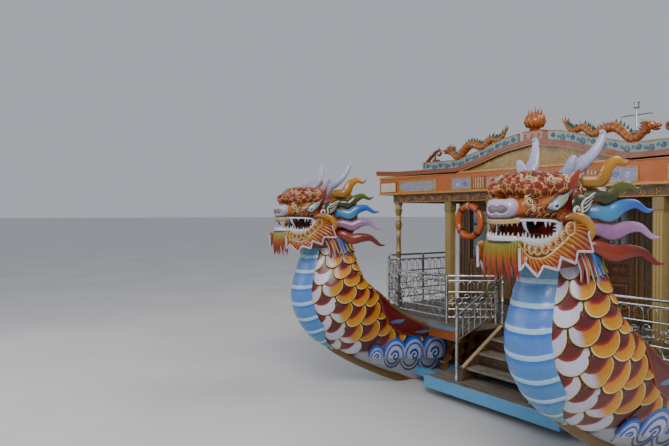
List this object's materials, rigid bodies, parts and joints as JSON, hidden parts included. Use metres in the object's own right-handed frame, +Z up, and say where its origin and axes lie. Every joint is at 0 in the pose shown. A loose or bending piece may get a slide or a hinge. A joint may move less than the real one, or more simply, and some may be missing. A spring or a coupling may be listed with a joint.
{
  "type": "double-hull dragon boat",
  "caption": "River passenger boat on two dragon-headed hulls, with an open carved porch, a cabin under a gabled roof, a boarding stair and helm.",
  "frame": {"origin": "amidships on the centreline, at the waterline", "axes": "+X towards the dragon heads, +Y to port, +Z up"},
  "size_m": [15.6672, 7, 5],
  "materials": {
    "hull_paint": "orange gloss paint with painted clouds and a dark red strake, weathered",
    "scale_paint": "hand-painted dark red to gold scales, satin",
    "head_paint": "hand-painted gold and red, satin",
    "jaw_paint": "hand-painted orange and red with white teeth, satin",
    "mane_paint": "painted flames in yellow, green, blue, pink and red, satin",
    "deck_boards": "worn grey-brown boards",
    "platform_paint": "bare boards on light blue painted beams, chipped",
    "rail_steel": "polished stainless tube, lightly dulled",
    "post_paint": "turned posts painted gold with silver rings",
    "wall_panels": "brown varnished panels",
    "door_panels": "dark red-brown varnish",
    "roof_sheet": "green corrugated sheet, weathered",
    "fascia_paint": "orange paint with blue cloud panels",
    "gable_paint": "golden olive field with a cloud border",
    "crest_paint": "pale teal band and orange dragons",
    "helm_wood": "varnished wood",
    "engine_paint": "grey engine paint, oily",
    "shaft_steel": "dull steel",
    "propeller_brass": "dull bronze",
    "rudder_paint": "dark red bottom paint, fouled",
    "lifebuoy_shell": "orange shell with pale bands"
  },
  "bodies": {
    "boat": {"hull_port": "hull_paint", "hull_starboard": "hull_paint", "neck_port": "scale_paint", "neck_starboard": "scale_paint", "tail_port": "scale_paint", "tail_starboard": "scale_paint", "head_port": "head_paint", "head_starboard": "head_paint", "jaw_port": "jaw_paint", "jaw_starboard": "jaw_paint", "mane_port": "mane_paint", "mane_starboard": "mane_paint", "deck": "deck_boards", "boarding_platform": "platform_paint", "stair": "deck_boards", "stair_rail_port": "rail_steel", "stair_rail_starboard": "rail_steel", "porch_rail_port": "rail_steel", "porch_rail_starboard": "rail_steel", "aft_rail": "rail_steel", "porch_frame": "post_paint", "side_wall_port": "wall_panels", "side_wall_starboard": "wall_panels", "front_wall": "wall_panels", "aft_wall": "wall_panels", "roof": "roof_sheet", "eaves": "fascia_paint", "front_gable": "gable_paint", "aft_gable": "gable_paint", "crest_port": "crest_paint", "crest_starboard": "crest_paint", "orb": "crest_paint", "light_mast": "rail_steel", "helm_console": "wall_panels", "engine_port": "engine_paint", "engine_starboard": "engine_paint", "shaft_port": "shaft_steel", "shaft_starboard": "shaft_steel", "bitt_port": "post_paint", "bitt_starboard": "post_paint", "lifebuoy_port": "lifebuoy_shell", "lifebuoy_starboard": "lifebuoy_shell"},
    "helm": {"helm_wheel": "helm_wood"},
    "port_propeller": {"propeller_port": "propeller_brass"},
    "starboard_propeller": {"propeller_starboard": "propeller_brass"},
    "port_rudder": {"rudder_port": "rudder_paint"},
    "starboard_rudder": {"rudder_starboard": "rudder_paint"},
    "port_front_door": {"front_door_port": "door_panels"},
    "starboard_front_door": {"front_door_starboard": "door_panels"},
    "aft_door_leaf": {"aft_door": "door_panels"},
    "port_hatch": {"engine_hatch_port": "deck_boards"},
    "starboard_hatch": {"engine_hatch_starboard": "deck_boards"}
  },
  "joints": [
    {"name": "helm_turn", "type": "hinge", "parent": "boat", "child": "helm", "pos_m": [-4.82, 0.8, 1.75], "axis": [1, 0, 0], "range_deg": [-360, 360]},
    {"name": "port_propeller_spin", "type": "hinge", "parent": "boat", "child": "port_propeller", "pos_m": [-6.33, 1.98, -0.27], "axis": [1, 0, 0], "continuous": true},
    {"name": "starboard_propeller_spin", "type": "hinge", "parent": "boat", "child": "starboard_propeller", "pos_m": [-6.33, -1.98, -0.27], "axis": [1, 0, 0], "continuous": true},
    {"name": "port_rudder_turn", "type": "hinge", "parent": "boat", "child": "port_rudder", "pos_m": [-6.64, 1.98, 0], "axis": [0, 0, 1], "range_deg": [-35, 35]},
    {"name": "starboard_rudder_turn", "type": "hinge", "parent": "boat", "child": "starboard_rudder", "pos_m": [-6.64, -1.98, 0], "axis": [0, 0, 1], "range_deg": [-35, 35]},
    {"name": "port_front_door_hinge", "type": "hinge", "parent": "boat", "child": "port_front_door", "pos_m": [2.9604, 0.494, 1.925], "axis": [0, 0, 1], "range_deg": [0, 100]},
    {"name": "starboard_front_door_hinge", "type": "hinge", "parent": "boat", "child": "starboard_front_door", "pos_m": [2.9604, -0.494, 1.925], "axis": [0, 0, -1], "range_deg": [0, 100]},
    {"name": "aft_door_hinge", "type": "hinge", "parent": "boat", "child": "aft_door_leaf", "pos_m": [-4.5604, -0.894, 1.925], "axis": [0, 0, 1], "range_deg": [0, 100]},
    {"name": "port_hatch_hinge", "type": "hinge", "parent": "boat", "child": "port_hatch", "pos_m": [-5.55, 2.36, 1.016], "axis": [-1, 0, 0], "range_deg": [0, 90]},
    {"name": "starboard_hatch_hinge", "type": "hinge", "parent": "boat", "child": "starboard_hatch", "pos_m": [-5.55, -2.36, 1.016], "axis": [1, 0, 0], "range_deg": [0, 90]}
  ],
  "couplings": [
    {"joint": "port_rudder_turn", "follows": "helm_turn", "ratio": 0.0972},
    {"joint": "starboard_rudder_turn", "follows": "helm_turn", "ratio": 0.0972}
  ]
}
